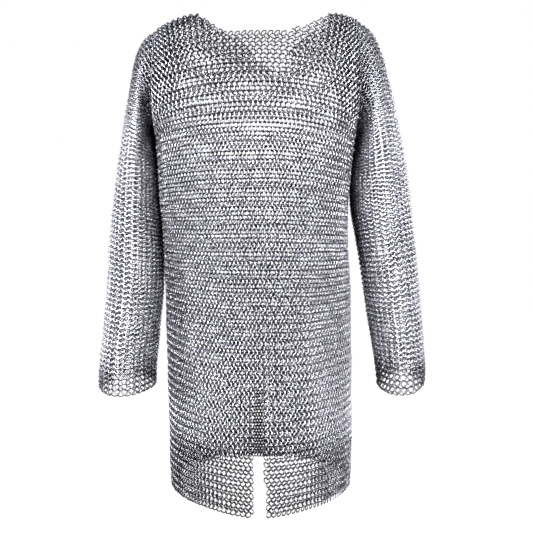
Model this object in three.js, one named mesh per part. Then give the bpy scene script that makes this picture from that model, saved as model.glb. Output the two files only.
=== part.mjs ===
// Chainmail hauberk as it hangs when worn: body, yokes, split skirt and long sleeves, each a thin
// curved wall as thick as the weave. Millimetres, +Z up, the front faces -Y, and the origin lies
// midway between the shoulder tops. Left and right are as seen from the front.
import * as THREE from "three";

// Thickness of the weave, where its rings lean across it
const WALL = 5;
// Gap between two joined pieces
const SEAM = 0.3;
// How far out a sleeve's first ring stands: more than a seam, because the two faceted edges meet
// at a slant
const SLEEVE_SEAM = 0.66;
// Levels below the shoulder tops
const UNDERARM_DROP = 225;
const SLIT_TOP_DROP = 708;
const HEM_DROP = 948;
// How far the armhole bows to the front and to the back
const ARMHOLE_BOW = 60;
// Powers that round the armhole at its top and at its foot: less is rounder
const ARMHOLE_TOP = 0.55;
const ARMHOLE_FOOT = 0.8;
// The bow fades from the armhole to the middle of the chest with this power
const BOW_FADE = 7;
// Roundness of the line from the chest over the shoulder
const SHOULDER_ROUND = 2.2;
// How far the sleeve's first ring stands clear of the body at the bottom of the armhole
const ARMPIT_CLEAR = 3.4;
const ARMPIT_FADE = 8;

// One row for each level of the body: half widths, depths, how square the section is, and how
// much higher the woven rows lie at each side than in the middle
const BODY = [
  { drop: 225, left: 204, right: 185, front: 122, back: 130, square: 2.2, liftLeft: -15, liftRight: -30 },
  { drop: 290, left: 200.5, right: 178, front: 129, back: 136, square: 2.15, liftLeft: -12, liftRight: -24 },
  { drop: 355, left: 197.5, right: 175, front: 132, back: 138, square: 2.1, liftLeft: -8, liftRight: -16 },
  { drop: 435, left: 192.5, right: 174.5, front: 135, back: 140, square: 2.05, liftLeft: 0, liftRight: -6 },
  { drop: 520, left: 189.5, right: 178.5, front: 138, back: 143, square: 2, liftLeft: 10, liftRight: 0 },
  { drop: 600, left: 188.5, right: 182.5, front: 141, back: 145, square: 1.97, liftLeft: 16, liftRight: 4 },
  { drop: 670, left: 187.5, right: 184, front: 143, back: 146, square: 1.95, liftLeft: 16, liftRight: 6 },
  { drop: 745, left: 186.5, right: 185, front: 145, back: 147, square: 1.93, liftLeft: 11, liftRight: 5 },
  { drop: 850, left: 185.5, right: 186.5, front: 147, back: 148, square: 1.9, liftLeft: 5, liftRight: 2 },
  { drop: 948, left: 182, right: 184, front: 148, back: 148, square: 1.88, liftLeft: 0, liftRight: 0 },
];

// Long soft folds of the body: where across the half they run at their top and foot, from 0 at
// the left side to 1 at the right, and how far they stand out or sink in
const FOLDS = [
  { half: "front", top: 0.2, foot: 0.31, from: 430, to: 860, wide: 0.05, out: 5 },
  { half: "front", top: 0.68, foot: 0.7, from: 470, to: 930, wide: 0.05, out: 5 },
  { half: "front", top: 0.545, foot: 0.53, from: 560, to: 830, wide: 0.014, out: -5 },
  { half: "back", top: 0.3, foot: 0.24, from: 400, to: 900, wide: 0.05, out: 5 },
  { half: "back", top: 0.62, foot: 0.66, from: 450, to: 940, wide: 0.05, out: 5 },
  { half: "back", top: 0.47, foot: 0.45, from: 620, to: 900, wide: 0.02, out: -4 },
];

// A fold fades out towards its two ends with this power
const FOLD_FADE = 0.7;

// The two corners of the slit hang lower than the rest of the hem
const SLIT_SAG = { by: 9, wide: 75, from: 780 };

// Height of the shoulder line, by distance from the middle
const SHOULDER = [
  { x: -199, drop: 29 },
  { x: -163, drop: 11 },
  { x: -129, drop: 2 },
  { x: 0, drop: 0 },
  { x: 151, drop: 0 },
  { x: 188, drop: 10 },
];

// Edge of the neck: a shallow boat in front, a lopsided V behind
const NECK = {
  front: [
    { x: -129, drop: 2 },
    { x: -103, drop: 29 },
    { x: -72, drop: 55 },
    { x: 0, drop: 57 },
    { x: 54, drop: 56 },
    { x: 102, drop: 31 },
    { x: 148, drop: 0 },
  ],
  back: [
    { x: -129, drop: 2 },
    { x: -98, drop: 12 },
    { x: -54, drop: 28 },
    { x: -1, drop: 64 },
    { x: 36, drop: 90 },
    { x: 54, drop: 68 },
    { x: 78, drop: 38 },
    { x: 148, drop: 0 },
  ],
};

// The slit: distance of its two edges from the middle
const SLIT = [
  { drop: 708, left: -3, right: -2.7 },
  { drop: 780, left: -7, right: 2 },
  { drop: 836, left: -9, right: 6 },
  { drop: 948, left: -12.5, right: 13.5 },
];

// Sections of each sleeve from armhole to cuff: the outer point and the inner point of the
// section, its depth to the front and back, and the powers that round its outer and inner end
const SLEEVES = {
  left: [
    { outX: -199, outDrop: 29, inX: -204, inDrop: 240, front: 60, back: 60, top: 0.55, foot: 0.8 },
    { outX: -224, outDrop: 48, inX: -213, inDrop: 243, front: 69, back: 69, top: 0.52, foot: 0.66 },
    { outX: -240, outDrop: 84, inX: -214, inDrop: 252, front: 76, back: 76, top: 0.5, foot: 0.58 },
    { outX: -250, outDrop: 132, inX: -212, inDrop: 266, front: 81, back: 81, top: 0.5, foot: 0.53 },
    { outX: -261, outDrop: 190, inX: -210, inDrop: 288, front: 85, back: 85, top: 0.5, foot: 0.5 },
    { outX: -276, outDrop: 268, inX: -207, inDrop: 332, front: 86, back: 86, top: 0.5, foot: 0.5 },
    { outX: -289, outDrop: 355, inX: -203.5, inDrop: 400, front: 86, back: 86, top: 0.5, foot: 0.5 },
    { outX: -299, outDrop: 440, inX: -200, inDrop: 470, front: 85, back: 85, top: 0.5, foot: 0.5 },
    { outX: -307, outDrop: 530, inX: -201, inDrop: 545, front: 84, back: 84, top: 0.5, foot: 0.5 },
    { outX: -317, outDrop: 620, inX: -211, inDrop: 630, front: 84, back: 84, top: 0.5, foot: 0.5 },
    { outX: -327, outDrop: 700, inX: -219, inDrop: 700, front: 85, back: 85, top: 0.5, foot: 0.5 },
    { outX: -328, outDrop: 747, inX: -220, inDrop: 748, front: 85, back: 85, top: 0.5, foot: 0.5 },
  ],
  right: [
    { outX: 188, outDrop: 10, inX: 185, inDrop: 255, front: 60, back: 60, top: 0.55, foot: 0.8 },
    { outX: 218, outDrop: 37, inX: 193, inDrop: 258, front: 69, back: 69, top: 0.52, foot: 0.66 },
    { outX: 239, outDrop: 81, inX: 193, inDrop: 266, front: 76, back: 76, top: 0.5, foot: 0.58 },
    { outX: 251, outDrop: 127, inX: 190, inDrop: 280, front: 81, back: 81, top: 0.5, foot: 0.53 },
    { outX: 265, outDrop: 178, inX: 187, inDrop: 300, front: 85, back: 85, top: 0.5, foot: 0.5 },
    { outX: 281, outDrop: 250, inX: 184.5, inDrop: 338, front: 86, back: 86, top: 0.5, foot: 0.5 },
    { outX: 295, outDrop: 340, inX: 189, inDrop: 390, front: 86, back: 86, top: 0.5, foot: 0.5 },
    { outX: 308, outDrop: 430, inX: 200, inDrop: 455, front: 85, back: 85, top: 0.5, foot: 0.5 },
    { outX: 319, outDrop: 520, inX: 215, inDrop: 540, front: 84, back: 84, top: 0.5, foot: 0.5 },
    { outX: 327, outDrop: 610, inX: 229, inDrop: 622, front: 84, back: 84, top: 0.5, foot: 0.5 },
    { outX: 334, outDrop: 690, inX: 241, inDrop: 698, front: 85, back: 85, top: 0.5, foot: 0.5 },
    { outX: 334, outDrop: 734, inX: 248, inDrop: 755, front: 85, back: 85, top: 0.5, foot: 0.5 },
  ],
};

// Points that each curve is measured with
const FINE = 72;
// Step of the differences that give a direction on a surface
const STEP = 0.002;

const FACING = { front: -1, back: 1 };

// Value of a table's column at a place along another column, on a smooth curve through its rows
function read(table, along, name, at) {
  const last = table.length - 2;
  let k = 0;
  while (k < last && at > table[k + 1][along]) k++;
  const a = table[k];
  const b = table[k + 1];
  const before = table[Math.max(k - 1, 0)];
  const after = table[Math.min(k + 2, last + 1)];
  const span = b[along] - a[along];
  const t = THREE.MathUtils.clamp((at - a[along]) / span, 0, 1);
  const slopeA = ((b[name] - before[name]) / (b[along] - before[along])) * span;
  const slopeB = ((after[name] - a[name]) / (after[along] - a[along])) * span;
  const rise = b[name] - a[name];
  const bend = slopeA + slopeB - 2 * rise;
  return a[name] + t * (slopeA + t * (3 * rise - 2 * slopeA - slopeB + t * bend));
}

// A line through points that can be asked for the point at a share of its length
function measured(points) {
  const lengths = [0];
  for (let i = 1; i < points.length; i++) {
    lengths.push(lengths[i - 1] + points[i].distanceTo(points[i - 1]));
  }
  const total = lengths[lengths.length - 1];
  function at(share) {
    const want = THREE.MathUtils.clamp(share, 0, 1) * total;
    let k = 0;
    while (k < points.length - 2 && lengths[k + 1] < want) k++;
    const part = (want - lengths[k]) / (lengths[k + 1] - lengths[k]);
    return points[k].clone().lerp(points[k + 1], part);
  }
  // Share of the length at which a coordinate reaches a value
  function shareWhere(axis, value) {
    let k = 0;
    while (k < points.length - 2 && points[k + 1][axis] < value) k++;
    const part = (value - points[k][axis]) / (points[k + 1][axis] - points[k][axis]);
    return (lengths[k] + part * (lengths[k + 1] - lengths[k])) / total;
  }
  return { at, shareWhere };
}

// Half section of the body at a level, from the left side to the right, as a flat line
function bodySection(half, drop) {
  const power = 2 / read(BODY, "drop", "square", drop);
  const left = read(BODY, "drop", "left", drop);
  const right = read(BODY, "drop", "right", drop);
  const depth = read(BODY, "drop", half, drop);
  const points = [];
  for (let i = 0; i <= FINE; i++) {
    const turn = (Math.PI * i) / FINE;
    const across = Math.cos(turn);
    const reach = Math.abs(across) ** power;
    const x = across > 0 ? -left * reach : right * reach;
    const y = FACING[half] * depth * Math.sin(turn) ** power;
    points.push(new THREE.Vector3(x, y, 0));
  }
  return measured(points);
}

// Width of a lens at a share of its height, rounded by one power at its top and one at its foot
function lens(down, top, foot) {
  return Math.sin(Math.PI * down) ** THREE.MathUtils.lerp(top, foot, down);
}

// How much higher a woven row lies at a place across the body than in its middle
function rowLift(drop, x) {
  const side = x < 0 ? "left" : "right";
  const lift = x < 0 ? "liftLeft" : "liftRight";
  const share = Math.min(Math.abs(x) / read(BODY, "drop", side, drop), 1);
  const sag = THREE.MathUtils.smoothstep(drop, SLIT_SAG.from, HEM_DROP) * SLIT_SAG.by;
  return read(BODY, "drop", lift, drop) * share ** 2 - sag * Math.exp(-((x / SLIT_SAG.wide) ** 2));
}

// How far the folds move the wall outwards
function foldOut(half, across, drop) {
  let out = 0;
  for (const fold of FOLDS) {
    const down = (drop - fold.from) / (fold.to - fold.from);
    if (fold.half !== half || down <= 0 || down >= 1) continue;
    const line = THREE.MathUtils.lerp(fold.top, fold.foot, down);
    const off = (across - line) / fold.wide;
    out += fold.out * Math.sin(Math.PI * down) ** FOLD_FADE * Math.exp(-off * off);
  }
  return out;
}

// Middle of the body's wall at a share across the half and a level
function bodyPoint(half, across, drop) {
  const section = bodySection(half, drop);
  const point = section.at(across);
  const before = section.at(across - STEP);
  const after = section.at(across + STEP);
  const outward = new THREE.Vector3(after.y - before.y, before.x - after.x, 0).normalize();
  point.addScaledVector(outward, -FACING[half] * foldOut(half, across, drop));
  point.z = -drop + rowLift(drop, point.x);
  return point;
}

// Line of the yoke from the underarm row up to the shoulder line, at a share across the half
function yokeLine(half, across) {
  const foot = bodyPoint(half, across, UNDERARM_DROP);
  const side = foot.x < 0 ? BODY[0].left : BODY[0].right;
  const share = foot.x / side;
  const top = share < 0 ? -share * SHOULDER[0].x : share * SHOULDER[SHOULDER.length - 1].x;
  const topDrop = read(SHOULDER, "x", "drop", top);
  const bow = ARMHOLE_BOW * Math.abs(share) ** BOW_FADE;
  const points = [];
  for (let i = 0; i <= FINE; i++) {
    const down = 1 - (i / FINE) * (2 - i / FINE);
    const rise = 1 - down;
    const round = (1 - rise ** SHOULDER_ROUND) ** (1 / SHOULDER_ROUND);
    const bowed = bow * lens(down, ARMHOLE_TOP, ARMHOLE_FOOT);
    points.push(
      new THREE.Vector3(
        THREE.MathUtils.lerp(top, foot.x, down),
        foot.y * round + FACING[half] * bowed,
        THREE.MathUtils.lerp(-topDrop, foot.z, down),
      ),
    );
  }
  return { top, line: measured(points) };
}

// Share of a yoke line's length that lies below the neck's edge
function yokeReach(half, across) {
  const { top, line } = yokeLine(half, across);
  const edge = NECK[half];
  if (top <= edge[0].x || top >= edge[edge.length - 1].x) return 1;
  return line.shareWhere("z", -read(edge, "x", "drop", top));
}

// Loop of a sleeve at a share of its length, from the outer point over the front and back again
function sleeveLoop(side, along) {
  const table = SLEEVES[side].map((row, i) => ({ ...row, place: i }));
  const place = THREE.MathUtils.clamp(along, 0, 1) * (table.length - 1);
  const value = (name) => read(table, "place", name, place);
  const outer = new THREE.Vector3(value("outX"), 0, -value("outDrop"));
  const inner = new THREE.Vector3(value("inX"), 0, -value("inDrop"));
  const away = side === "left" ? -1 : 1;
  const points = [];
  for (let i = 0; i <= 2 * FINE; i++) {
    const front = i <= FINE;
    const turn = (Math.PI * i) / FINE;
    const down = (1 - Math.cos(turn)) / 2;
    const depth = front ? -value("front") : value("back");
    const point = outer.clone().lerp(inner, down);
    point.y = depth * lens(down, value("top"), value("foot"));
    // The first ring keeps its seam to the yoke and stands clear of the body at the armpit
    const clear = SLEEVE_SEAM + ARMPIT_CLEAR * down ** ARMPIT_FADE;
    point.x += away * clear * Math.max(1 - place, 0);
    points.push(point);
  }
  return measured(points);
}

// Directions that an edge's wall is kept out of, so that two joined pieces part in a clean plane
function keepOut(direction, axes) {
  for (const axis of axes) direction[axis] = 0;
  return direction.normalize();
}

// A closed wall over a grid of middle points, columns across and rows down. Facing is 1 where
// the outside lies along columns x rows, and -1 where it lies the other way
function wall({ columns, rows, at, facing, closed = false, edge = () => [] }) {
  const wide = closed ? columns : columns + 1;
  const positions = [];
  for (const layer of [1, -1]) {
    for (let j = 0; j <= rows; j++) {
      for (let i = 0; i < wide; i++) {
        const u = i / columns;
        const v = j / rows;
        const alongU = at(u + STEP, v).sub(at(u - STEP, v));
        const alongV = at(u, v + STEP).sub(at(u, v - STEP));
        const outward = alongU.cross(alongV).multiplyScalar(facing).normalize();
        const direction = keepOut(outward, edge(i, j));
        const point = at(u, v).addScaledVector(direction, (layer * WALL) / 2);
        positions.push(point.x, point.y, point.z);
      }
    }
  }
  const id = (i, j, layer) => (i % wide) + j * wide + layer * wide * (rows + 1);
  const index = [];
  function quad(a, b, c, d) {
    index.push(...(facing > 0 ? [a, b, c, a, c, d] : [a, d, c, a, c, b]));
  }
  for (let j = 0; j < rows; j++) {
    for (let i = 0; i < columns; i++) {
      quad(id(i, j, 0), id(i + 1, j, 0), id(i + 1, j + 1, 0), id(i, j + 1, 0));
      quad(id(i, j, 1), id(i, j + 1, 1), id(i + 1, j + 1, 1), id(i + 1, j, 1));
    }
  }
  for (let i = 0; i < columns; i++) {
    quad(id(i, 0, 1), id(i + 1, 0, 1), id(i + 1, 0, 0), id(i, 0, 0));
    quad(id(i, rows, 0), id(i + 1, rows, 0), id(i + 1, rows, 1), id(i, rows, 1));
  }
  for (let j = 0; j < rows && !closed; j++) {
    quad(id(0, j, 0), id(0, j + 1, 0), id(0, j + 1, 1), id(0, j, 1));
    quad(id(columns, j, 1), id(columns, j + 1, 1), id(columns, j + 1, 0), id(columns, j, 0));
  }
  const geometry = new THREE.BufferGeometry();
  geometry.setAttribute("position", new THREE.Float32BufferAttribute(positions, 3));
  geometry.setIndex(index);
  geometry.computeVertexNormals();
  return geometry;
}

const steel = { color: 0x9698a0, roughness: 0.38, metalness: 1 };
const hauberk = new THREE.Group();

function addPiece(name, geometry) {
  const mesh = new THREE.Mesh(geometry, new THREE.MeshStandardMaterial(steel));
  mesh.name = name;
  hauberk.add(mesh);
}

// A piece of the body between two levels, over all or a part of one half
function addBody(name, half, { columns, rows, top, foot, part = () => [0, 1] }) {
  function at(u, v) {
    const drop = THREE.MathUtils.lerp(top, foot, v);
    const [start, end] = part(drop);
    const point = bodyPoint(half, THREE.MathUtils.lerp(start, end, u), drop);
    point.y += (FACING[half] * SEAM) / 2;
    return point;
  }
  function edge(i, j) {
    const axes = [];
    if ((i === 0 && part(foot)[0] === 0) || (i === columns && part(foot)[1] === 1)) axes.push("y");
    if (j === 0 || j === rows) axes.push("z");
    return axes;
  }
  addPiece(name, wall({ columns, rows, at, facing: FACING[half], edge }));
}

// A yoke, from its underarm row up to the shoulder line and the neck's edge
function addYoke(name, half, { columns, rows }) {
  function at(u, v) {
    const point = yokeLine(half, u).line.at(v * yokeReach(half, u));
    point.y += (FACING[half] * SEAM) / 2;
    point.z += SEAM / 2;
    return point;
  }
  function edge(i, j) {
    const side = i === 0 || i === columns;
    if (j === 0) return side ? ["y", "z"] : ["z"];
    const onShoulder = j === rows && yokeReach(half, i / columns) === 1;
    return [...(side ? ["x"] : []), ...(onShoulder ? ["y"] : [])];
  }
  addPiece(name, wall({ columns, rows, at, facing: -FACING[half], edge }));
}

function addSleeve(name, side, { columns, rows }) {
  const at = (u, v) => sleeveLoop(side, v).at(u - Math.floor(u));
  const edge = (i, j) => (j === 0 ? ["x"] : []);
  const facing = side === "left" ? -1 : 1;
  addPiece(name, wall({ columns, rows, at, facing, closed: true, edge }));
}

const slitShare = (side, drop) =>
  bodySection("front", drop).shareWhere("x", read(SLIT, "drop", side, drop));
const BODY_TOP = UNDERARM_DROP + SEAM / 2;
const BODY_FOOT = SLIT_TOP_DROP - SEAM / 2;
const SKIRT_TOP = SLIT_TOP_DROP + SEAM / 2;

for (const half of ["front", "back"]) {
  addYoke(`chest_${half}`, half, { columns: 28, rows: 10 });
  addBody(`body_${half}`, half, { columns: 28, rows: 14, top: BODY_TOP, foot: BODY_FOOT });
}
addBody("skirt_front_left", "front", {
  columns: 14,
  rows: 7,
  top: SKIRT_TOP,
  foot: HEM_DROP,
  part: (drop) => [0, slitShare("left", drop)],
});
addBody("skirt_front_right", "front", {
  columns: 14,
  rows: 7,
  top: SKIRT_TOP,
  foot: HEM_DROP,
  part: (drop) => [slitShare("right", drop), 1],
});
addBody("skirt_back", "back", { columns: 28, rows: 7, top: SKIRT_TOP, foot: HEM_DROP });
addSleeve("sleeve_left", "left", { columns: 24, rows: 16 });
addSleeve("sleeve_right", "right", { columns: 24, rows: 16 });

export default hauberk;
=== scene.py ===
# Chainmail hauberk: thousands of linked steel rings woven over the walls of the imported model.
# Sizes are in millimetres until a mesh is made. The camera, the lights and the flat sizes of the
# sheets are in metres.
import math

import bmesh
import bpy
import numpy as np
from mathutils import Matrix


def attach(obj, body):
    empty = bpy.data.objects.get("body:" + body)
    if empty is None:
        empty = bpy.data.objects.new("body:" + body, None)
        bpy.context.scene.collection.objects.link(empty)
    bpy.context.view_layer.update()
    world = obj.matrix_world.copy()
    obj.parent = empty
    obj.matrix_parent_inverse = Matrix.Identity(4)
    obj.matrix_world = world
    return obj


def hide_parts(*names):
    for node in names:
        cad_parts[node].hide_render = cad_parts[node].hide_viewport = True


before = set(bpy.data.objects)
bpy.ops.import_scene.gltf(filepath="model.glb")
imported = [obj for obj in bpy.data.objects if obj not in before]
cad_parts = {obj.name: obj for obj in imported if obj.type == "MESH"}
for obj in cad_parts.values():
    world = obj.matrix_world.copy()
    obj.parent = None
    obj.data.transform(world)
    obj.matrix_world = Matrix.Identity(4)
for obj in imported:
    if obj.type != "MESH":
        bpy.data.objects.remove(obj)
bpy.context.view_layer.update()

MM = 0.001

# Levels below the shoulder tops at which pieces meet or end
UNDERARM_DROP = 225
SLIT_TOP_DROP = 708
HEM_DROP = 948
# The gap between two pieces, and how far out a sleeve starts
SEAM = 0.3
SLEEVE_SEAM = 0.66

# One butted ring: radius of its middle line, half the width and the height of its wire, which
# is a little flattened, and the faces round each
RING_RADIUS = 5.8
WIRE_HALF_WIDTH = 1.4
WIRE_HEIGHT = 1.45
RING_SIDES = 6
WIRE_SIDES = 3
# Rings lie like fallen dominoes, one row to the left and the next to the right, and no two of
# them lean, twist and hang quite alike
LEAN = math.radians(34)
LEAN_UNEVEN = math.radians(2.5)
TWIST_UNEVEN = math.radians(2)
PLACE_UNEVEN = 0.2

# The weave: rings in half a round of the body, rows from underarm to hem and from underarm to
# shoulder line, rows round a sleeve and rings along one
HALF_ROUND_RINGS = 66
BODY_ROWS = 92
YOKE_ROWS = {"front": 34, "back": 36}
SLEEVE_ROWS = 60
SLEEVE_RINGS = 70
# How far inside an edge the middle of its last ring stays
HEM_INSET = 5.0
NECK_INSET = -3.0
YOKE_INSET = 3.0
SLIT_INSET = {"top": 6.5, "foot": 2.5}
CUFF_INSET = 4.0
ARMHOLE_INSET = 3.5

# Each armhole's edge: how far it bows to the front and back, the powers that round its top and
# foot, and how fast the bow fades over the chest
ARMHOLE_BOW = 60
ARMHOLE_TOP = 0.55
ARMHOLE_FOOT = 0.8
BOW_FADE = 7
# The power that rounds the shoulders from front to back
SHOULDER_ROUND = 2.2
# How much further out a sleeve starts at the armpit, and how fast that fades upwards
ARMPIT_CLEAR = 3.4
ARMPIT_FADE = 8
# How softly a fold ends
FOLD_FADE = 0.7
# How far rows sag beside the slit, over which width and between which levels
SLIT_SAG = {"by": 9, "wide": 75, "from": 780, "to": HEM_DROP}
# Steps along a curve and along a table, and the step in shares that gives a direction
CURVE_STEPS = 72
TABLE_STEPS = 400
ROW_STEPS = 40
STEP = 0.002
FACING = {"front": -1, "back": 1}
# About how long a chest row, a yoke from underarm to shoulder line and a sleeve are
CHEST_ROW_LENGTH = 450
YOKE_LENGTH = 240
SLEEVE_LENGTH = 700


def table(columns, *rows):
    """Rows under named columns, as one array for each column."""
    return {name: np.array(values, float) for name, values in zip(columns.split(), zip(*rows))}


# One row for each level of the body: half widths, depths, how square the section is, and how
# much higher the woven rows lie at each side than in the middle
BODY = table(
    "drop left right front back square lift_left lift_right",
    (225, 204, 185, 122, 130, 2.2, -15, -30),
    (290, 200.5, 178, 129, 136, 2.15, -12, -24),
    (355, 197.5, 175, 132, 138, 2.1, -8, -16),
    (435, 192.5, 174.5, 135, 140, 2.05, 0, -6),
    (520, 189.5, 178.5, 138, 143, 2, 10, 0),
    (600, 188.5, 182.5, 141, 145, 1.97, 16, 4),
    (670, 187.5, 184, 143, 146, 1.95, 16, 6),
    (745, 186.5, 185, 145, 147, 1.93, 11, 5),
    (850, 185.5, 186.5, 147, 148, 1.9, 5, 2),
    (948, 182, 184, 148, 148, 1.88, 0, 0),
)

# Long soft folds of the body: where across the half they run at their top and foot, the levels
# between which they run, their width and how far they stand out or sink in
FOLDS = {
    "front": [
        {"top": 0.2, "foot": 0.31, "from": 430, "to": 860, "wide": 0.05, "out": 5},
        {"top": 0.68, "foot": 0.7, "from": 470, "to": 930, "wide": 0.05, "out": 5},
        {"top": 0.545, "foot": 0.53, "from": 560, "to": 830, "wide": 0.014, "out": -5},
    ],
    "back": [
        {"top": 0.3, "foot": 0.24, "from": 400, "to": 900, "wide": 0.05, "out": 5},
        {"top": 0.62, "foot": 0.66, "from": 450, "to": 940, "wide": 0.05, "out": 5},
        {"top": 0.47, "foot": 0.45, "from": 620, "to": 900, "wide": 0.02, "out": -4},
    ],
}

# Height of the shoulder line, by distance from the middle
SHOULDER = table("x drop", (-199, 29), (-163, 11), (-129, 2), (0, 0), (151, 0), (188, 10))

# Edge of the neck
NECK = {
    "front": table(
        "x drop", (-129, 2), (-103, 29), (-72, 55), (0, 57), (54, 56), (102, 31), (148, 0)
    ),
    "back": table(
        "x drop",
        (-129, 2), (-98, 12), (-54, 28), (-1, 64), (36, 90), (54, 68), (78, 38), (148, 0),
    ),
}

# The slit: distance of its two edges from the middle
SLIT = table("drop left right", (708, -3, -2.7), (780, -7, 2), (836, -9, 6), (948, -12.5, 13.5))

# Sections of each sleeve from armhole to cuff: the outer and the inner point of the section,
# its depth to the front and back, and the powers that round its outer and inner end
SLEEVE_COLUMNS = "out_x out_drop in_x in_drop depth top foot"
SLEEVES = {
    "left": table(
        SLEEVE_COLUMNS,
        (-199, 29, -204, 240, 60, 0.55, 0.8),
        (-224, 48, -213, 243, 69, 0.52, 0.66),
        (-240, 84, -214, 252, 76, 0.5, 0.58),
        (-250, 132, -212, 266, 81, 0.5, 0.53),
        (-261, 190, -210, 288, 85, 0.5, 0.5),
        (-276, 268, -207, 332, 86, 0.5, 0.5),
        (-289, 355, -203.5, 400, 86, 0.5, 0.5),
        (-299, 440, -200, 470, 85, 0.5, 0.5),
        (-307, 530, -201, 545, 84, 0.5, 0.5),
        (-317, 620, -211, 630, 84, 0.5, 0.5),
        (-327, 700, -219, 700, 85, 0.5, 0.5),
        (-328, 747, -220, 748, 85, 0.5, 0.5),
    ),
    "right": table(
        SLEEVE_COLUMNS,
        (188, 10, 185, 255, 60, 0.55, 0.8),
        (218, 37, 193, 258, 69, 0.52, 0.66),
        (239, 81, 193, 266, 76, 0.5, 0.58),
        (251, 127, 190, 280, 81, 0.5, 0.53),
        (265, 178, 187, 300, 85, 0.5, 0.5),
        (281, 250, 184.5, 338, 86, 0.5, 0.5),
        (295, 340, 189, 390, 86, 0.5, 0.5),
        (308, 430, 200, 455, 85, 0.5, 0.5),
        (319, 520, 215, 540, 84, 0.5, 0.5),
        (327, 610, 229, 622, 84, 0.5, 0.5),
        (334, 690, 241, 698, 85, 0.5, 0.5),
        (334, 734, 248, 755, 85, 0.5, 0.5),
    ),
}

# How far apart the woven rows hang: the weight below pulls the upper ones open
YOKE_PITCH = table("up pitch", (0, 8.3), (0.35, 7.8), (0.7, 6.7), (1, 6.5))
ROW_PITCH = table("drop pitch", (225, 8.4), (480, 8.3), (620, 7.9), (800, 7.2), (948, 6.8))

# At the shoulders and beside the slit the rings of a row hang further apart than at the waist
SHOULDER_SPREAD = 0.85
SKIRT_SPREAD = {
    "front": {"by": 0.24, "from": 640, "to": 900},
    "back": {"by": -0.16, "from": 225, "to": 500},
}

# Uneven hang: the strength of each slow wave, its turns across and down a wall and its share of
# the phase, how far the waves move rows up and down and the wall in and out, the distance from
# the underarm and the hem at which rows wander in full, and the phases
WAVES = ((0.4, 8.3, 0.019, 1), (0.35, 19.7, -0.031, 2.3), (0.25, 31.1, 0.047, 4.1))
ROW_WANDER = 1.1
WALL_WANDER = 1.4
WANDER_FADE = 30
ROW_PHASE = 5
WALL_PHASE = 3
SLEEVE_PHASE = 6

# How much painted shade darkens some places, and the levels or shares between which that comes or
# goes: the skirts, where the front is lightened with painted light and the back darkened, the hem,
# which is less shaded at its sides, the neck, the armholes, and the cuffs, which are darker
# towards their edge
SKIRT_LIGHT_AND_SHADE = {"front": -0.24, "back": 0.3, "from": 480, "to": 800}
HEM_SHADE = {"by": 0.54, "sides": 0.25, "from": 800, "to": 870}
NECK_SHADE = {"sides": 0.1, "more": 0.36, "from": 0.1, "to": 0.6}
ARMHOLE_SHADE = {"by": 0.35, "from": 0.05, "to": 0.35}
CUFF_DARKER = {"by": 0.34, "from": 0.9, "to": 0.97}
# Painted shade where a sleeve hangs beside the body darkens both: how much, how far over each and
# how far down
GAP_SHADE = 0.65
BODY_GAP_SHADE = {"wide": 0.02, "from": 450, "to": 620}
SLEEVE_GAP_SHADE = {"wide": 0.075, "from": 0.45, "to": 0.8}
# How strong the oil and painted shade in the links and the painted shade on the inner side of some
# pieces are, against 1 for the others
LINK_OIL_AND_SHADE_SCALE = {"sleeve_left": 0.58, "sleeve_right": 0.58}
INSIDE_SHADE_SCALE = {"skirt_back": 2}

# Flat size of each piece of mail with its rings evenly open
FLAT_SIZES = {
    "chest_front": (0.6, 0.23),
    "chest_back": (0.6, 0.23),
    "body_front": (0.65, 0.44),
    "body_back": (0.65, 0.44),
    "skirt_front_left": (0.32, 0.24),
    "skirt_front_right": (0.32, 0.24),
    "skirt_back": (0.65, 0.24),
    "sleeve_left": (0.44, 0.7),
    "sleeve_right": (0.44, 0.7),
}


# Camera, at the photograph's place: level with the waist and looking a little down

PHOTO_SIDE = 533
FOCAL_PIXELS = 613
HORIZON_ABOVE_MIDDLE = 51.5
CAMERA_PLACE = (13 * MM, -1250 * MM, -392.5 * MM)


def add_camera():
    data = bpy.data.cameras.new("camera")
    data.lens = data.sensor_width * FOCAL_PIXELS / PHOTO_SIDE
    data.clip_start = 0.05
    camera = bpy.data.objects.new("camera", data)
    camera.location = CAMERA_PLACE
    camera.rotation_euler = (math.pi / 2 - math.atan(HORIZON_ABOVE_MIDDLE / FOCAL_PIXELS), 0, 0)
    bpy.context.scene.collection.objects.link(camera)
    bpy.context.scene.camera = camera


# The garment's surfaces

def read(rows, along, name, at):
    """A table's column at places along another column, on a smooth curve through its rows."""
    x, y = rows[along], rows[name]
    last = len(x) - 2
    k = np.clip(np.searchsorted(x, at, side="left") - 1, 0, last)
    before, after = np.maximum(k - 1, 0), np.minimum(k + 2, last + 1)
    span = x[k + 1] - x[k]
    t = np.clip((at - x[k]) / span, 0, 1)
    slope_a = (y[k + 1] - y[before]) / (x[k + 1] - x[before]) * span
    slope_b = (y[after] - y[k]) / (x[after] - x[k]) * span
    rise = y[k + 1] - y[k]
    bend = slope_a + slope_b - 2 * rise
    return y[k] + t * (slope_a + t * (3 * rise - 2 * slope_a - slope_b + t * bend))


def mix(a, b, share):
    return a + (b - a) * share


def smoothstep(at, low, high):
    t = np.clip((at - low) / (high - low), 0, 1)
    return t * t * (3 - 2 * t)


def reached(at, change):
    """How much of a change has come at a level or share, from 0 to 1."""
    return smoothstep(at, change["from"], change["to"])


def bell(at, wide):
    """1 in the middle, and next to nothing some widths away."""
    return np.exp(-((at / wide) ** 2))


def unit(vectors):
    return vectors / np.linalg.norm(vectors, axis=1)[:, None]


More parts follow.
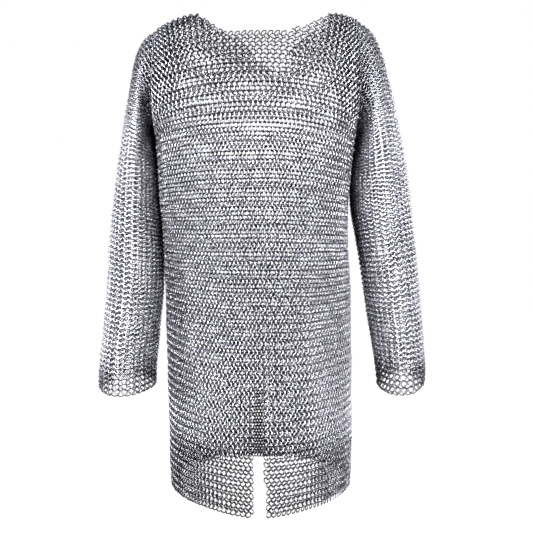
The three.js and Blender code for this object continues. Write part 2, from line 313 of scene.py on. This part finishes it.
def along_lines(lines, share):
    """On each line of points, the point at a share of its length."""
    steps = np.linalg.norm(np.diff(lines, axis=1), axis=2)
    lengths = np.concatenate([np.zeros((len(lines), 1)), np.cumsum(steps, axis=1)], axis=1)
    want = np.clip(share, 0, 1) * lengths[:, -1]
    k = (lengths[:, 1:-1] < want[:, None]).sum(axis=1)
    row = np.arange(len(lines))
    part = (want - lengths[row, k]) / np.maximum(lengths[row, k + 1] - lengths[row, k], 1e-9)
    return lines[row, k] + part[:, None] * (lines[row, k + 1] - lines[row, k])


def body_sections(half, drop):
    """Half sections of the body at these levels, from the left side to the right, flat."""
    power = 2 / read(BODY, "drop", "square", drop)[:, None]
    turn = np.linspace(0, math.pi, CURVE_STEPS + 1)[None, :]
    across = np.cos(turn)
    reach = np.abs(across) ** power
    left = read(BODY, "drop", "left", drop)[:, None]
    right = read(BODY, "drop", "right", drop)[:, None]
    depth = read(BODY, "drop", half, drop)[:, None]
    x = np.where(across > 0, -left * reach, right * reach)
    y = FACING[half] * depth * np.abs(np.sin(turn)) ** power
    return np.stack([x, y, np.zeros_like(x)], axis=2)


def row_lift(drop, x):
    """How much higher a woven row lies at a place across the body than in its middle."""
    left, right = read(BODY, "drop", "left", drop), read(BODY, "drop", "right", drop)
    lift_left = read(BODY, "drop", "lift_left", drop)
    lift_right = read(BODY, "drop", "lift_right", drop)
    side = np.where(x < 0, left, right)
    lift = np.where(x < 0, lift_left, lift_right)
    sag = reached(drop, SLIT_SAG) * SLIT_SAG["by"]
    return lift * np.minimum(np.abs(x) / side, 1) ** 2 - sag * bell(x, SLIT_SAG["wide"])


def fold_out(half, across, drop):
    """How far the folds move the wall outwards."""
    out = np.zeros_like(drop)
    for fold in FOLDS[half]:
        down = np.clip((drop - fold["from"]) / (fold["to"] - fold["from"]), 0, 1)
        off = across - mix(fold["top"], fold["foot"], down)
        out += fold["out"] * np.sin(math.pi * down) ** FOLD_FADE * bell(off, fold["wide"])
    return out


def body_points(half, across, drop):
    sections = body_sections(half, drop)
    point = along_lines(sections, across)
    tangent = along_lines(sections, across + STEP) - along_lines(sections, across - STEP)
    outward = unit(np.stack([tangent[:, 1], -tangent[:, 0], np.zeros(len(point))], axis=1))
    point += outward * (-FACING[half] * fold_out(half, across, drop))[:, None]
    point[:, 2] = -drop + row_lift(drop, point[:, 0])
    return point


def lens(down, top, foot):
    """Width of a lens at a share of its height, rounded by one power at each end."""
    return np.abs(np.sin(math.pi * down)) ** mix(top, foot, down)


def yoke_lines(half, across):
    """Lines from the underarm row up to the shoulder line, and where each meets that line."""
    foot = body_points(half, across, np.full(len(across), float(UNDERARM_DROP)))
    side = np.where(foot[:, 0] < 0, BODY["left"][0], BODY["right"][0])
    share = foot[:, 0] / side
    top = np.where(share < 0, -share * SHOULDER["x"][0], share * SHOULDER["x"][-1])
    top_drop = read(SHOULDER, "x", "drop", top)
    bow = ARMHOLE_BOW * np.abs(share) ** BOW_FADE
    up = np.linspace(0, 1, CURVE_STEPS + 1)[None, :]
    down = 1 - up * (2 - up)
    rounded = np.maximum(1 - (1 - down) ** SHOULDER_ROUND, 0) ** (1 / SHOULDER_ROUND)
    bowed = bow[:, None] * lens(down, ARMHOLE_TOP, ARMHOLE_FOOT)
    x = mix(top[:, None], foot[:, :1], down)
    y = foot[:, 1:2] * rounded + FACING[half] * bowed
    z = mix(-top_drop[:, None], foot[:, 2:3], down)
    return np.stack([x, y, z], axis=2), top


def yoke_points(half, across, up):
    return along_lines(yoke_lines(half, across)[0], up)


def sleeve_points(side, around, along):
    """Points round a sleeve's loops, from the outer point over the front and back again."""
    rows = dict(SLEEVES[side], place=np.arange(len(SLEEVES[side]["depth"]), dtype=float))
    place = np.clip(along, 0, 1) * rows["place"][-1]
    value = {name: read(rows, "place", name, place)[:, None] for name in SLEEVE_COLUMNS.split()}
    turn = np.linspace(0, 2 * math.pi, 2 * CURVE_STEPS + 1)[None, :]
    down = (1 - np.cos(turn)) / 2
    depth = np.where(turn <= math.pi, -value["depth"], value["depth"])
    clear = SLEEVE_SEAM + ARMPIT_CLEAR * down ** ARMPIT_FADE
    away = -1 if side == "left" else 1
    x = mix(value["out_x"], value["in_x"], down)
    x += away * clear * np.maximum(1 - place, 0)[:, None]
    y = depth * lens(down, value["top"], value["foot"])
    z = -mix(value["out_drop"], value["in_drop"], down)
    return along_lines(np.stack([x, y, z], axis=2), around % 1)


def slit_inset(drop):
    return mix(SLIT_INSET["top"], SLIT_INSET["foot"], smoothstep(drop, SLIT_TOP_DROP, HEM_DROP))


def left_of_slit(x, drop):
    return x < read(SLIT, "drop", "left", drop) - slit_inset(drop)


def right_of_slit(x, drop):
    return x > read(SLIT, "drop", "right", drop) + slit_inset(drop)


def everywhere(x, drop):
    return np.ones(len(x), bool)


# One ring

def ring_template():
    """Points and four-cornered faces of one butted ring that lies flat round the origin."""
    made = bmesh.new()
    wire = bmesh.ops.create_circle(made, segments=WIRE_SIDES, radius=1)["verts"]
    wide = WIRE_HALF_WIDTH / math.sin(math.pi / WIRE_SIDES)
    high = WIRE_HEIGHT / (1 + math.cos(math.pi / WIRE_SIDES))
    for vert in wire:
        vert.co = (RING_RADIUS + wide * vert.co.x, 0, high * vert.co.y)
    bmesh.ops.spin(
        made,
        geom=made.verts[:] + made.edges[:],
        axis=(0, 0, 1),
        cent=(0, 0, 0),
        angle=2 * math.pi,
        steps=RING_SIDES,
        use_merge=True,
    )
    bmesh.ops.recalc_face_normals(made, faces=made.faces[:])
    made.verts.index_update()
    points = np.array([vert.co for vert in made.verts])
    faces = np.array([[vert.index for vert in face.verts] for face in made.faces])
    made.free()
    return points, faces


RING_POINTS, RING_FACES = ring_template()
RING_MIDDLES = RING_POINTS * [1, 1, 0]
RING_MIDDLES *= RING_RADIUS / np.linalg.norm(RING_MIDDLES, axis=1)[:, None]
RING_NORMALS = unit(RING_POINTS - RING_MIDDLES)


# Steel

class Value:
    """A shader socket that takes part in sums."""

    def __init__(self, shader, socket):
        self.shader, self.socket = shader, socket

    def sum(self, operation, a, b):
        return self.shader.node("ShaderNodeMath", {"operation": operation}, [a, b])["Value"]

    def __add__(self, other):
        return self.sum("ADD", self, other)

    def __radd__(self, other):
        return self.sum("ADD", other, self)

    def __sub__(self, other):
        return self.sum("SUBTRACT", self, other)

    def __rsub__(self, other):
        return self.sum("SUBTRACT", other, self)

    def __mul__(self, other):
        return self.sum("MULTIPLY", self, other)

    def __rmul__(self, other):
        return self.sum("MULTIPLY", other, self)


class Shader:
    """Nodes of one material or world."""

    def __init__(self, owner):
        owner.use_nodes = True
        self.tree = owner.node_tree
        self.tree.nodes.clear()

    def node(self, kind, settings=None, inputs=None):
        """Adds a node with its settings, then values or links, and returns its outputs by name."""
        made = self.tree.nodes.new(kind)
        for name, value in (settings or {}).items():
            setattr(made, name, value)
        given = enumerate(inputs) if isinstance(inputs, list) else (inputs or {}).items()
        for key, value in given:
            if isinstance(value, Value):
                self.tree.links.new(value.socket, made.inputs[key])
            else:
                made.inputs[key].default_value = value
        return {output.name: Value(self, output) for output in made.outputs if output.enabled}

    def attribute(self, name):
        return self.node("ShaderNodeAttribute", {"attribute_name": name})["Fac"]

    def noise(self, place, scale, detail):
        inputs = {"Vector": place, "Scale": scale, "Detail": detail, "Roughness": 0.6}
        return self.node("ShaderNodeTexNoise", {}, inputs)["Fac"]

    def smooth(self, value, low, high):
        """0 at one value and 1 at another, with a smooth change between them."""
        return self.node(
            "ShaderNodeMapRange",
            {"interpolation_type": "SMOOTHSTEP"},
            {"Value": value, "From Min": low, "From Max": high},
        )["Result"]

    def ramp(self, share, *stops):
        """A colour by a share, through stops of (place, colour)."""
        made = self.tree.nodes.new("ShaderNodeValToRGB")
        elements = made.color_ramp.elements
        while len(elements) < len(stops):
            elements.new(0.5)
        for element, (place, colour) in zip(elements, stops):
            element.position, element.color = place, (*colour, 1)
        self.tree.links.new(share.socket, made.inputs["Fac"])
        return Value(self, made.outputs["Color"])

    def surface(self, inputs):
        """Ends the tree in one shader with these inputs."""
        shader = self.node("ShaderNodeBsdfPrincipled", {}, inputs)["BSDF"]
        self.node("ShaderNodeOutputMaterial", {}, {"Surface": shader})


# Colours of the wire where oil and painted shade make it darkest, where it is dull and where it is
# brightest, its tint at a slant, and how bright a clean wire is on that scale
DARKEST_STEEL = (0.025, 0.025, 0.031)
DULL_STEEL = (0.22, 0.22, 0.248)
BRIGHT_STEEL = (0.51, 0.51, 0.56)
SLANT_TINT = (0.25, 0.25, 0.28, 1)
CLEAN = 0.6
# What oil and painted shade take from that in the links, what painted shade takes on the inner
# side and painted light gives on the outer side, and how much rings, patches and fine marks differ
LINK_OIL_AND_SHADE = 0.64
INSIDE_SHADE = 0.34
TONE_BRIGHT = 0.12
PATCH_BRIGHT = 0.24
MARK_BRIGHT = 0.16
# How rough a clean wire is, and what tone, oil and marks change
CLEAN_ROUGH = 0.28
TONE_ROUGH = 0.06
OIL_ROUGH = 0.12
MARK_ROUGH = 0.16
PATCH_SCALE = 22
MARK_SCALE = 900


def mail_steel():
    """Drawn steel wire, brighter on the sides of each ring and dark with oil and painted shade
    where rings link, with painted shade on the inner side and painted light on the outer side.
    Each ring also carries its own painted shade, is a little brighter or duller, and has fine
    marks and dull patches."""
    material = bpy.data.materials.new("mail_steel")
    shader = Shader(material)
    place = shader.node("ShaderNodeTexCoord")["Object"]
    patches = shader.noise(place, PATCH_SCALE, 3)
    marks = shader.noise(place, MARK_SCALE, 2)
    tone = shader.attribute("ring_tone")
    in_link = shader.attribute("in_link")
    inside = shader.attribute("inside")
    painted_shade = shader.attribute("painted_ring_shade")
    linked = shader.smooth(in_link, 0.3, 0.9)
    # Painted shade: oil and shade in the links, shade on the inner side, light on the outer side,
    # and each ring's own painted shade
    bright = CLEAN - LINK_OIL_AND_SHADE * linked - INSIDE_SHADE * inside - painted_shade
    bright = bright + TONE_BRIGHT * (tone - 0.5) + PATCH_BRIGHT * (patches - 0.5)
    bright = bright + MARK_BRIGHT * (marks - 0.5)
    colour = shader.ramp(
        bright, (0.2, DARKEST_STEEL), (0.5, DULL_STEEL), (0.85, BRIGHT_STEEL)
    )
    rough = CLEAN_ROUGH - TONE_ROUGH * tone + OIL_ROUGH * in_link + MARK_ROUGH * (marks - 0.5)
    bump = shader.node(
        "ShaderNodeBump", {}, {"Strength": 0.25, "Distance": 0.0002, "Height": marks}
    )["Normal"]
    shader.surface(
        {
            "Base Color": colour,
            "Metallic": 1.0,
            "Roughness": rough,
            "Normal": bump,
            "Specular Tint": SLANT_TINT,
        }
    )
    return material


MAIL_STEEL = mail_steel()


# Weaving

def ring_axes(along_row, across_row, outward, lean, twist, turned):
    """Axes of each ring, the last one square to its plane. It leans and twists, and its corners
    are turned in its own plane."""
    first = along_row * np.cos(lean) + outward * np.sin(lean)
    flat_out = unit(np.cross(first, across_row))
    second = unit(across_row + flat_out * np.tan(twist))
    flat_out = np.cross(first, second)
    spin_x = first * np.cos(turned) + second * np.sin(turned)
    spin_y = second * np.cos(turned) - first * np.sin(turned)
    return np.stack([spin_x, spin_y, flat_out], axis=1)


def mail_mesh(name, points, point_values):
    """One mesh of many rings, from each ring's points in metres and named values of them."""
    faces = RING_FACES[None] + (np.arange(len(points)) * len(RING_POINTS))[:, None, None]
    mesh = bpy.data.meshes.new(name)
    mesh.vertices.add(len(points) * len(RING_POINTS))
    mesh.vertices.foreach_set("co", points.ravel())
    mesh.loops.add(faces.size)
    mesh.loops.foreach_set("vertex_index", faces.ravel())
    mesh.polygons.add(len(points) * len(RING_FACES))
    mesh.polygons.foreach_set("loop_start", np.arange(0, faces.size, faces.shape[2]))
    mesh.update()
    mesh.validate()
    mesh.polygons.foreach_set("use_smooth", np.ones(len(mesh.polygons), bool))
    for attribute, values in point_values.items():
        made = mesh.attributes.new(attribute, "FLOAT", "POINT")
        made.data.foreach_set("value", values.ravel().astype(np.float32))
    mesh.materials.append(MAIL_STEEL)
    return mesh


def weave(node, centres, along_row, outward, leans, painted_shade, chance):
    """One piece of mail: a ring at each centre, leaning by its row and darkened by its own share
    of painted shade, all in one mesh in place of the node's wall."""
    count = len(centres)
    outward = unit(outward)
    across_row = unit(np.cross(outward, along_row))
    along_row = np.cross(across_row, outward)
    lean = (leans * (LEAN + chance.normal(0, LEAN_UNEVEN, count)))[:, None]
    twist = chance.normal(0, TWIST_UNEVEN, count)[:, None]
    centres = centres + chance.normal(0, PLACE_UNEVEN, (count, 3))
    turned = chance.uniform(0, 2 * math.pi, count)[:, None]
    tone = chance.uniform(0, 1, count)
    axes = ring_axes(along_row, across_row, outward, lean, twist, turned)
    points = RING_POINTS @ axes
    off_middle = np.abs((points * across_row[:, None, :]).sum(axis=2))
    faces_out = ((RING_NORMALS @ axes) * outward[:, None, :]).sum(axis=2)
    point_values = {
        "ring_tone": np.repeat(tone, len(RING_POINTS)),
        "painted_ring_shade": np.repeat(painted_shade, len(RING_POINTS)),
        # in_link carries oil and painted shade where rings link; inside carries painted shade on
        # inward faces and painted light on outward ones
        "in_link": LINK_OIL_AND_SHADE_SCALE.get(node, 1) * off_middle / RING_RADIUS,
        "inside": -INSIDE_SHADE_SCALE.get(node, 1) * faces_out,
    }
    name, flat = f"mail_{node}", FLAT_SIZES[node]
    mesh = mail_mesh(name, (points + centres[:, None, :]) * MM, point_values)
    piece = bpy.data.objects.new(name, mesh)
    bpy.context.scene.collection.objects.link(piece)
    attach(piece, "root")
    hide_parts(node)


def directions(at, u, v):
    """Directions along u and v on a surface."""
    return at(u + STEP, v) - at(u - STEP, v), at(u, v + STEP) - at(u, v - STEP)


def row_shares(rings, later):
    """Shares of a row at which it has its rings. Every other row starts half a ring later."""
    return (np.arange(rings) + (0.75 if later else 0.25)) / rings


def ring_row(shares, level, later):
    """Share, level and lean of each ring of a row. Every other row leans the other way."""
    lean = -1 if later else 1
    return np.stack([shares, np.full(len(shares), level), np.full(len(shares), lean)])


def starts_later(half, odd):
    """Whether a row of one half of the body starts later. A row runs on round the body, so the
    back's rows start half a ring later than the front's."""
    return odd == (half == "front")


def spaced(pitch, along, low, high, shares):
    """Levels of rows between two ends, with each row at its share of their number and the
    distances of a table between them."""
    levels = np.linspace(low, high, TABLE_STEPS)
    counted = np.cumsum(1 / read(pitch, along, "pitch", levels))
    counted = (counted - counted[0]) / (counted[-1] - counted[0])
    return np.interp(shares, counted, levels)


def wander(u, drop, phase):
    """Slow waves over a wall, between -1 and 1."""
    return sum(
        strength * np.sin(across * u + down * drop + share * phase)
        for strength, across, down, share in WAVES
    )


def uneven(points, outward, u, drop, phase):
    return points + unit(outward) * (WALL_WANDER * wander(u, drop, phase))[:, None]


# Painted light and shade of the body: a lighter front skirt, a darker back skirt, a shaded hem and
# a shaded strip beside each sleeve
def body_shade(half, u, drop):
    painted_shade = SKIRT_LIGHT_AND_SHADE[half] * reached(drop, SKIRT_LIGHT_AND_SHADE)
    hem = mix(HEM_SHADE["sides"], 1, np.sin(math.pi * u) ** 2)
    painted_shade += HEM_SHADE["by"] * hem * reached(drop, HEM_SHADE)
    beside_sleeve = bell(np.minimum(u, 1 - u), BODY_GAP_SHADE["wide"])
    return painted_shade + GAP_SHADE * beside_sleeve * (1 - reached(drop, BODY_GAP_SHADE))


def weave_body(node, half, top, foot, keep, chance):
    """The mail of one half of the body between two levels, where one rule keeps it."""
    shares = (np.arange(BODY_ROWS) + 0.5) / (BODY_ROWS - 0.5)
    levels = spaced(ROW_PITCH, "drop", UNDERARM_DROP, HEM_DROP - HEM_INSET, shares)
    rows = []
    for row, level in enumerate(levels):
        if top < level <= foot:
            later = starts_later(half, row % 2 == 1)
            rows.append(ring_row(row_shares(HALF_ROUND_RINGS, later), level, later))
    u, drop, lean = np.concatenate(rows, axis=1)
    height = HEM_DROP - UNDERARM_DROP

    def at(u, v):
        point = body_points(half, u, v * height)
        point[:, 1] += FACING[half] * SEAM / 2
        return point

    spread = reached(drop, SKIRT_SPREAD[half]) * SKIRT_SPREAD[half]["by"]
    u = u - spread * np.sin(2 * math.pi * u) / (2 * math.pi)
    fade = np.minimum(np.minimum(drop - UNDERARM_DROP, HEM_DROP - drop) / WANDER_FADE, 1)
    v = (drop + fade * ROW_WANDER * wander(u, drop, ROW_PHASE + FACING[half])) / height
    centres = at(u, v)
    kept = keep(centres[:, 0], drop)
    u, v, lean, centres = u[kept], v[kept], lean[kept], centres[kept]
    along_u, along_v = directions(at, u, v)
    outward = np.cross(along_u, along_v) * FACING[half]
    drop = v * height
    centres = uneven(centres, outward, u, drop, WALL_PHASE + FACING[half])
    weave(node, centres, along_u, outward, lean, body_shade(half, u, drop), chance)


def yoke_spread(half, up):
    """How much wider apart the rings of a yoke's row are, in shares of the row. The rings keep
    their distance as the rows get shorter, and the outer ones end at the armholes."""
    u = np.linspace(0, 1, ROW_STEPS)
    lengths = []
    for level in (0, up, 1):
        line = yoke_points(half, u, np.full(len(u), float(level)))
        lengths.append(np.linalg.norm(np.diff(line, axis=0), axis=1).sum())
    return 1 + SHOULDER_SPREAD * (lengths[0] - lengths[1]) / (lengths[0] - lengths[2])


def weave_yoke(node, half, chance):
    """The mail of one half from the underarm row to the shoulder line, below the neck's edge."""
    levels = (np.arange(YOKE_ROWS[half]) + 0.5) / YOKE_ROWS[half]
    rows = []
    for row, up in enumerate(spaced(YOKE_PITCH, "up", 0, 1, levels)):
        later = starts_later(half, row % 2 == 0)
        off = (row_shares(HALF_ROUND_RINGS, later) - 0.5) * yoke_spread(half, up)
        shares = 0.5 + off
        shares = shares[np.abs(shares - 0.5) < 0.5 - YOKE_INSET / CHEST_ROW_LENGTH]
        rows.append(ring_row(shares, up, later))
    u, v, lean = np.concatenate(rows, axis=1)

    def at(u, v):
        point = yoke_points(half, u, v)
        point[:, 1] += FACING[half] * SEAM / 2
        point[:, 2] += SEAM / 2
        return point

    centres = at(u, v)
    top = yoke_lines(half, u)[1]
    edge = NECK[half]
    beside = (top <= edge["x"][0]) | (top >= edge["x"][-1])
    kept = beside | (centres[:, 2] < -read(edge, "x", "drop", top) - NECK_INSET)
    u, v, lean, centres = u[kept], v[kept], lean[kept], centres[kept]
    along_u, along_v = directions(at, u, v)
    outward = np.cross(along_v, along_u) * FACING[half]
    centres = uneven(centres, outward, u, -v * YOKE_LENGTH, WALL_PHASE + FACING[half])
    # Painted shade towards the neck, more in the middle of the half
    painted_shade = NECK_SHADE["sides"] + NECK_SHADE["more"] * np.sin(math.pi * u) ** 4
    weave(node, centres, along_u, outward, lean, painted_shade * reached(v, NECK_SHADE), chance)


def sleeve_spacing(side, share):
    """Shares of a sleeve's sections at which its outer line has gone these shares of its length,
    between the first and the last ring's insets."""
    fine = np.linspace(0, 1, TABLE_STEPS)
    line = sleeve_points(side, np.zeros(len(fine)), fine)
    lengths = np.concatenate([[0], np.cumsum(np.linalg.norm(np.diff(line, axis=0), axis=1))])
    want = mix(ARMHOLE_INSET, lengths[-1] - CUFF_INSET, share)
    return np.interp(want, lengths, fine)


# Painted shade of a sleeve at its armhole and beside the body, and darker towards the cuff
def sleeve_shade(around, along):
    painted_shade = ARMHOLE_SHADE["by"] * (1 - reached(along, ARMHOLE_SHADE))
    painted_shade = painted_shade + CUFF_DARKER["by"] * reached(along, CUFF_DARKER)
    beside_body = bell(around - 0.5, SLEEVE_GAP_SHADE["wide"])
    return painted_shade + GAP_SHADE * beside_body * (1 - reached(along, SLEEVE_GAP_SHADE))


def weave_sleeve(node, side, chance):
    """The mail of one sleeve, with its rows along it."""
    rows = []
    for row in range(SLEEVE_ROWS):
        later = row % 2 == 1
        shares = row_shares(SLEEVE_RINGS, later)
        rows.append(ring_row(shares, (row + 0.5) / SLEEVE_ROWS, later))
    along, around, lean = np.concatenate(rows, axis=1)
    places = sleeve_spacing(side, along)

    def at(u, v):
        return sleeve_points(side, u, v)

    centres = at(around, places)
    along_u, along_v = directions(at, around, places)
    facing = 1 if side == "right" else -1
    outward = np.cross(along_u, along_v) * facing
    down = SLEEVE_LENGTH * along
    centres = uneven(centres, outward, 2 * around, down, SLEEVE_PHASE + facing)
    weave(node, centres, along_v, outward, lean, sleeve_shade(around, along), chance)


def weave_hauberk():
    chance = np.random.default_rng(7)
    for half in ("front", "back"):
        weave_yoke(f"chest_{half}", half, chance)
        weave_body(f"body_{half}", half, 0, SLIT_TOP_DROP, everywhere, chance)
    below = (SLIT_TOP_DROP, HEM_DROP)
    weave_body("skirt_front_left", "front", *below, left_of_slit, chance)
    weave_body("skirt_front_right", "front", *below, right_of_slit, chance)
    weave_body("skirt_back", "back", *below, everywhere, chance)
    for side in ("left", "right"):
        weave_sleeve(f"sleeve_{side}", side, chance)


# Studio

FLOOR_DROP = 1500
FLOOR_REACH = 30
# Softboxes: place and the point they face in metres, size in metres and power in watts
SOFTBOXES = {
    "left": {"place": (-1.9, -1.7, 0.3), "faces": (0, 0, -0.4), "size": (0.9, 1.0), "watts": 112},
    "right": {"place": (2.0, -1.7, 0.2), "faces": (0, 0, -0.4), "size": (0.9, 1.0), "watts": 84},
    "front": {"place": (-0.2, -1.9, 1.1), "faces": (0, 0, -0.4), "size": (2.2, 1.0), "watts": 235},
    "low": {"place": (0, -2.4, -1.4), "faces": (0, 0, -0.3), "size": (2.2, 0.5), "watts": 90},
    "top": {"place": (0, -0.2, 2.0), "faces": (0, 0, -0.4), "size": (2.4, 2.0), "watts": 130},
    "back": {"place": (0.3, 2.2, 0.8), "faces": (0, 0, -0.5), "size": (2.0, 1.4), "watts": 200},
    "left rim": {
        "place": (-2.0, 0.5, -0.3), "faces": (-0.3, 0, -0.4), "size": (1.6, 1.6), "watts": 70
    },
    "right rim": {
        "place": (2.0, 0.5, -0.3), "faces": (0.3, 0, -0.4), "size": (1.6, 1.6), "watts": 70
    },
}


def add_studio():
    """White paper all round, which the steel doesn't mirror, and the softboxes that it does."""
    world = bpy.data.worlds.new("studio")
    bpy.context.scene.world = world
    shader = Shader(world)
    paper = shader.node("ShaderNodeBackground", {}, {"Color": (1, 1, 1, 1), "Strength": 1.0})
    shader.node("ShaderNodeOutputWorld", {}, {"Surface": paper["Background"]})
    world.cycles_visibility.glossy = False
    bpy.context.scene.view_settings.view_transform = "Standard"
    for name, box in SOFTBOXES.items():
        data = bpy.data.lights.new(name, "AREA")
        data.shape = "RECTANGLE"
        data.size, data.size_y = box["size"]
        data.energy = box["watts"]
        light = bpy.data.objects.new(name, data)
        light.location = box["place"]
        towards = np.subtract(box["faces"], box["place"])
        pitch = math.atan2(math.hypot(towards[0], towards[1]), -towards[2])
        light.rotation_euler = (pitch, 0, math.atan2(-towards[0], towards[1]))
        bpy.context.scene.collection.objects.link(light)


def add_floor():
    """A white floor that glows, so that it is as white as the paper behind and no whiter."""
    made = bmesh.new()
    bmesh.ops.create_grid(made, x_segments=1, y_segments=1, size=FLOOR_REACH)
    bmesh.ops.translate(made, verts=made.verts[:], vec=(0, 0, -FLOOR_DROP * MM))
    mesh = bpy.data.meshes.new("floor")
    made.to_mesh(mesh)
    made.free()
    material = bpy.data.materials.new("pale_floor")
    Shader(material).surface(
        {
            "Base Color": (0.03, 0.03, 0.03, 1),
            "Roughness": 0.9,
            "Specular IOR Level": 0.0,
            "Emission Color": (1, 1, 1, 1),
            "Emission Strength": 0.97,
        }
    )
    mesh.materials.append(material)
    floor = bpy.data.objects.new("floor", mesh)
    floor.visible_glossy = False
    bpy.context.scene.collection.objects.link(floor)


add_camera()
weave_hauberk()
add_studio()
add_floor()
